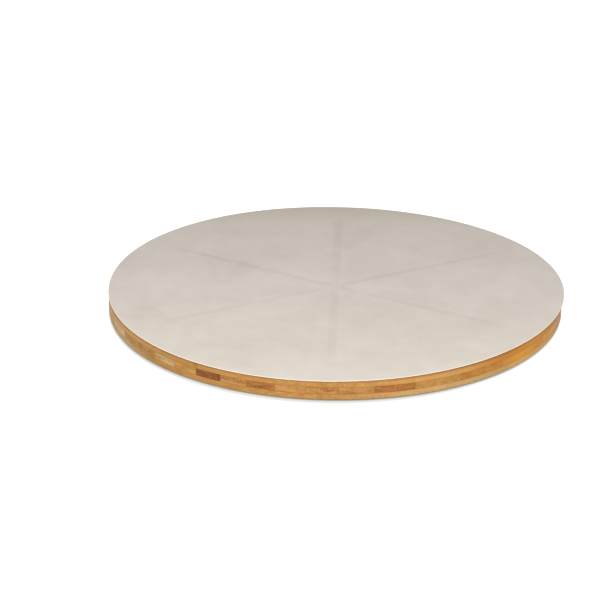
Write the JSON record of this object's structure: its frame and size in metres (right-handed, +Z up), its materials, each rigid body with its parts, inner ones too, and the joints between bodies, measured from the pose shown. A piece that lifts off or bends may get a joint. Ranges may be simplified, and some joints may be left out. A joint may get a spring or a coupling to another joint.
{
  "type": "lazy susan turntable",
  "caption": "Slim round lazy susan: a cross-laminated bamboo board with a thin creased soft mat, turning on a ring ball bearing hidden in its underside over a footed base disc.",
  "frame": {"origin": "on the table surface under the rubber feet, in the middle of the turntable", "axes": "+Z up along the turning axis; core strips run along Y, face plies along X"},
  "size_m": [0.33, 0.33, 0.015],
  "materials": {
    "mat_leatherette": "matte pale warm-grey leatherette, very fine grain, faint fold creases",
    "film": "translucent double-sided adhesive film",
    "bamboo_honey": "oiled honey-coloured bamboo strips, satin",
    "bamboo_pale": "oiled pale bamboo strip, satin",
    "bamboo_caramel": "oiled brown carbonised bamboo strip, satin",
    "ring_aluminium": "turned aluminium",
    "zinc_steel": "zinc-plated steel",
    "ball_steel": "polished bearing steel",
    "cage_nylon": "natural white nylon",
    "base_paint": "dark grey fine-texture powder coat on steel sheet",
    "foot_rubber": "matte black rubber"
  },
  "bodies": {
    "base": {"base_disc": "base_paint", "outer_ring": "ring_aluminium", "filling_plug": "zinc_steel", "base_screws": "zinc_steel", "rubber_feet": "foot_rubber"},
    "platter": {"top_mat": "mat_leatherette", "adhesive_film": "film", "top_ply": "bamboo_honey", "core_front_left_8": "bamboo_honey", "core_front_left_7": "bamboo_honey", "core_front_left_6": "bamboo_honey", "core_front_left_5": "bamboo_pale", "core_front_left_4": "bamboo_honey", "core_front_left_3": "bamboo_honey", "core_front_left_2": "bamboo_pale", "core_front_left_1": "bamboo_honey", "core_front_middle": "bamboo_caramel", "core_front_right_1": "bamboo_honey", "core_front_right_2": "bamboo_caramel", "core_front_right_3": "bamboo_pale", "core_front_right_4": "bamboo_honey", "core_front_right_5": "bamboo_honey", "core_front_right_6": "bamboo_caramel", "core_front_right_7": "bamboo_pale", "core_front_right_8": "bamboo_caramel", "core_back_left_8": "bamboo_honey", "core_back_left_7": "bamboo_caramel", "core_back_left_6": "bamboo_pale", "core_back_left_5": "bamboo_honey", "core_back_left_4": "bamboo_honey", "core_back_left_3": "bamboo_caramel", "core_back_left_2": "bamboo_honey", "core_back_left_1": "bamboo_pale", "core_back_middle": "bamboo_honey", "core_back_right_1": "bamboo_caramel", "core_back_right_2": "bamboo_honey", "core_back_right_3": "bamboo_honey", "core_back_right_4": "bamboo_pale", "core_back_right_5": "bamboo_honey", "core_back_right_6": "bamboo_caramel", "core_back_right_7": "bamboo_honey", "core_back_right_8": "bamboo_pale", "bottom_ply": "bamboo_honey", "inner_ring": "ring_aluminium", "ring_screws": "zinc_steel"},
    "ball_train": {"bearing_balls": "ball_steel", "ball_cage": "cage_nylon"}
  },
  "joints": [
    {"name": "platter_spin", "type": "hinge", "parent": "base", "child": "platter", "pos_m": [0, 0, 0.007], "axis": [0, 0, 1], "continuous": true},
    {"name": "cage_roll", "type": "hinge", "parent": "base", "child": "ball_train", "pos_m": [0, 0, 0.007], "axis": [0, 0, 1], "continuous": true}
  ],
  "couplings": [
    {"joint": "cage_roll", "follows": "platter_spin", "ratio": 0.48837}
  ]
}
